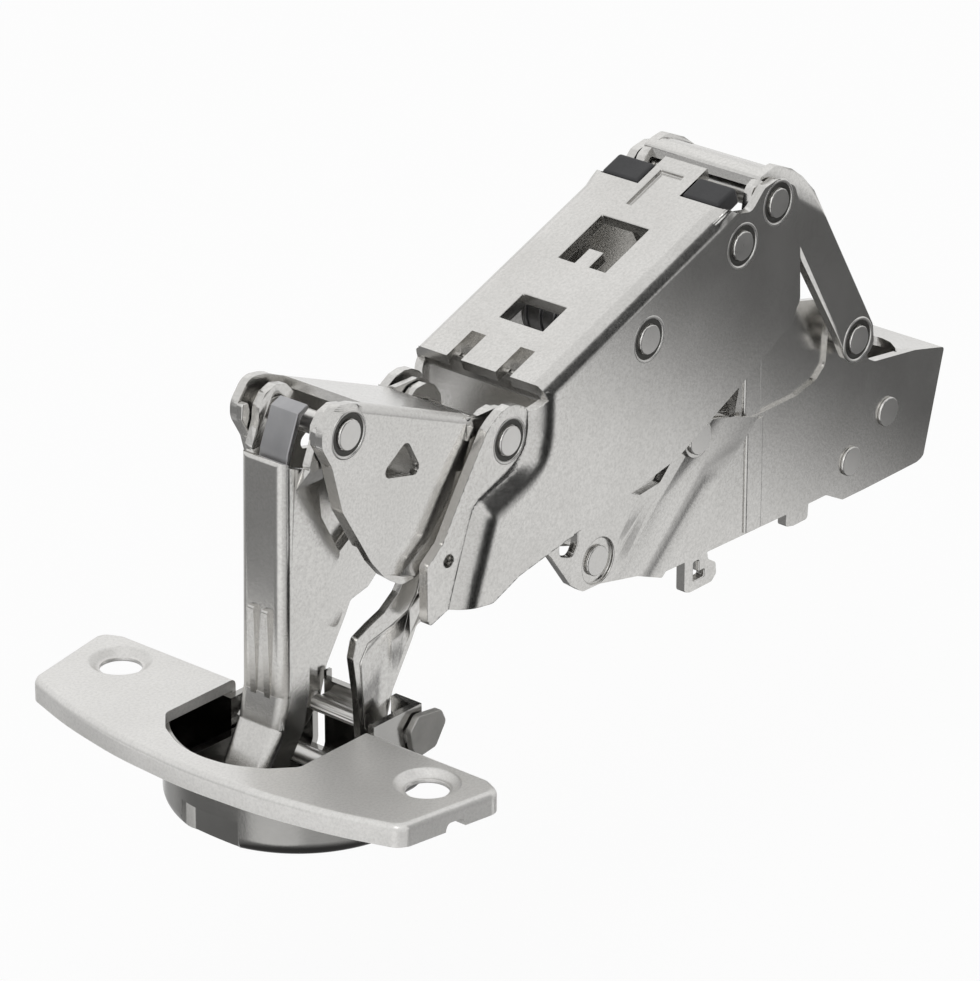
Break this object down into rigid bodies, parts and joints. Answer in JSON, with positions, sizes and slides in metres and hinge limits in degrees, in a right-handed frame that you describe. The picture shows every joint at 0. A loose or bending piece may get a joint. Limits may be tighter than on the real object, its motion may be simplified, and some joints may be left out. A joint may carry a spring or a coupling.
{
  "type": "concealed cup hinge",
  "caption": "Wide-angle concealed cabinet hinge: drilled cup flange, folding pressed-steel link arm with riveted pivots, and a clip-on base body.",
  "frame": {"origin": "midway between the two cup screw holes, on the top face of the cup flange", "axes": "+Z out of the door away from the cup, +Y along the row of the two screw holes, +X from the flange towards the base"},
  "size_m": [0.1472, 0.0676, 0.0634],
  "materials": {
    "nickel_sheet": "satin nickel plating on pressed steel",
    "polished_pin": "bright turned steel, nickel plated",
    "black_plastic": "fine matt",
    "grey_plastic": "matt",
    "dull_zinc": "dull cast zinc",
    "spring_steel": "dull blued grey"
  },
  "bodies": {
    "base": {"base_body": "nickel_sheet", "base_rear_pin": "polished_pin", "base_inner_pin": "polished_pin", "base_rivets": "polished_pin", "side_plate_left": "nickel_sheet", "side_plate_right": "nickel_sheet", "side_top_rivets": "polished_pin", "side_front_rivets": "polished_pin"},
    "rear_link_body": {"rear_link": "nickel_sheet"},
    "arm": {"main_arm": "nickel_sheet", "arm_inner_channel": "nickel_sheet", "arm_front_pin": "polished_pin", "arm_middle_pin": "polished_pin", "arm_upper_pin": "polished_pin", "arm_rear_pin": "polished_pin", "stop_pads": "black_plastic", "closing_spring": "spring_steel"},
    "link": {"link_box": "nickel_sheet"},
    "lever": {"front_lever": "nickel_sheet", "front_lever_pin": "polished_pin", "spring_leaf": "spring_steel"},
    "cup": {"cup_flange": "nickel_sheet", "cup_shell": "nickel_sheet", "cup_front_pin": "polished_pin", "cup_rear_pin": "polished_pin", "damper_body": "grey_plastic", "damper_switch": "dull_zinc", "damper_rod": "polished_pin"},
    "cup_lever_body": {"cup_lever": "nickel_sheet"},
    "inner_link_body": {"inner_link": "nickel_sheet"}
  },
  "joints": [
    {"name": "rear_link_turn", "type": "hinge", "parent": "base", "child": "rear_link_body", "pos_m": [0.1069, 0, 0.02], "axis": [0, 1, 0], "range_deg": [-26, 36]},
    {"name": "arm_turn", "type": "hinge", "parent": "rear_link_body", "child": "arm", "pos_m": [0.0866, 0, 0.0463], "axis": [0, 1, 0], "range_deg": [-60.02, 43.35]},
    {"name": "link_turn", "type": "hinge", "parent": "arm", "child": "link", "pos_m": [0.0347, 0, 0.0292], "axis": [0, 1, 0], "range_deg": [-59.24, 82.02]},
    {"name": "lever_turn", "type": "hinge", "parent": "link", "child": "lever", "pos_m": [0.0066, 0, 0.0389], "axis": [0, 1, 0], "range_deg": [-19.02, 13.74]},
    {"name": "cup_turn", "type": "hinge", "parent": "lever", "child": "cup", "pos_m": [-0.0045, 0, -0.0082], "axis": [0, 1, 0], "range_deg": [-36.85, 51.02]},
    {"name": "cup_lever_turn", "type": "hinge", "parent": "arm", "child": "cup_lever_body", "pos_m": [0.0347, 0, 0.0292], "axis": [0, 1, 0], "range_deg": [-43.71, 60.52]},
    {"name": "inner_link_turn", "type": "hinge", "parent": "base", "child": "inner_link_body", "pos_m": [0.0957, 0, 0.0123], "axis": [0, 1, 0], "range_deg": [-25.3, 35.02]}
  ],
  "couplings": [
    {"joint": "arm_turn", "follows": "rear_link_turn", "ratio": -1.6667},
    {"joint": "link_turn", "follows": "rear_link_turn", "ratio": 2.2778},
    {"joint": "lever_turn", "follows": "rear_link_turn", "ratio": -0.52778},
    {"joint": "cup_turn", "follows": "rear_link_turn", "ratio": 1.4167},
    {"joint": "cup_lever_turn", "follows": "rear_link_turn", "ratio": 1.6806},
    {"joint": "inner_link_turn", "follows": "rear_link_turn", "ratio": 0.97222}
  ]
}
